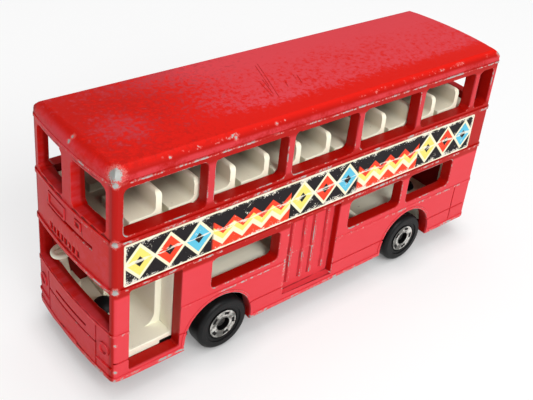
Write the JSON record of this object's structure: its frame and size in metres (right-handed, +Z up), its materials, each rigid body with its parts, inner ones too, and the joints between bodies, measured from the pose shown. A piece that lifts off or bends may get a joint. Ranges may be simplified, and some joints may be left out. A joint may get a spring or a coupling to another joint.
{
  "type": "toy bus",
  "caption": "Pocket-size die-cast double-deck toy bus with open windows, a moulded interior and free-rolling wheels on wire axles.",
  "frame": {"origin": "on the ground under the middle of the bus", "axes": "+X towards the front of the bus, +Y towards the entrance side, +Z up"},
  "size_m": [0.076, 0.0216, 0.037],
  "materials": {
    "red_paint": "worn gloss enamel over zinc casting",
    "cream_plastic": "satin moulded plastic",
    "black_base": "satin black",
    "black_wheel": "satin black moulded plastic with bright foil hub",
    "steel_wire": "bright drawn wire",
    "paper_label": "worn printed paper"
  },
  "bodies": {
    "chassis": {"body_shell": "red_paint", "base_plate": "black_base", "lower_deck": "cream_plastic", "upper_deck": "cream_plastic", "front_rivet": "black_base", "rear_rivet": "black_base", "side_label": "paper_label"},
    "front_axle": {"front_axle": "steel_wire"},
    "rear_axle": {"rear_axle": "steel_wire"},
    "wheel_front_left": {"wheel_front_left": "black_wheel"},
    "wheel_front_right": {"wheel_front_right": "black_wheel"},
    "wheel_rear_left": {"wheel_rear_left": "black_wheel"},
    "wheel_rear_right": {"wheel_rear_right": "black_wheel"}
  },
  "joints": [
    {"name": "front_axle_lift", "type": "slide", "parent": "chassis", "child": "front_axle", "axis": [0, 0, 1], "range_m": [-0.0004, 0]},
    {"name": "rear_axle_lift", "type": "slide", "parent": "chassis", "child": "rear_axle", "axis": [0, 0, 1], "range_m": [-0.0004, 0]},
    {"name": "wheel_front_left_spin", "type": "hinge", "parent": "front_axle", "child": "wheel_front_left", "pos_m": [0.01855, 0.0088, 0.0044], "axis": [0, 1, 0], "continuous": true},
    {"name": "wheel_front_right_spin", "type": "hinge", "parent": "front_axle", "child": "wheel_front_right", "pos_m": [0.01855, -0.0088, 0.0044], "axis": [0, 1, 0], "continuous": true},
    {"name": "wheel_rear_left_spin", "type": "hinge", "parent": "rear_axle", "child": "wheel_rear_left", "pos_m": [-0.0204, 0.0088, 0.0044], "axis": [0, 1, 0], "continuous": true},
    {"name": "wheel_rear_right_spin", "type": "hinge", "parent": "rear_axle", "child": "wheel_rear_right", "pos_m": [-0.0204, -0.0088, 0.0044], "axis": [0, 1, 0], "continuous": true}
  ]
}
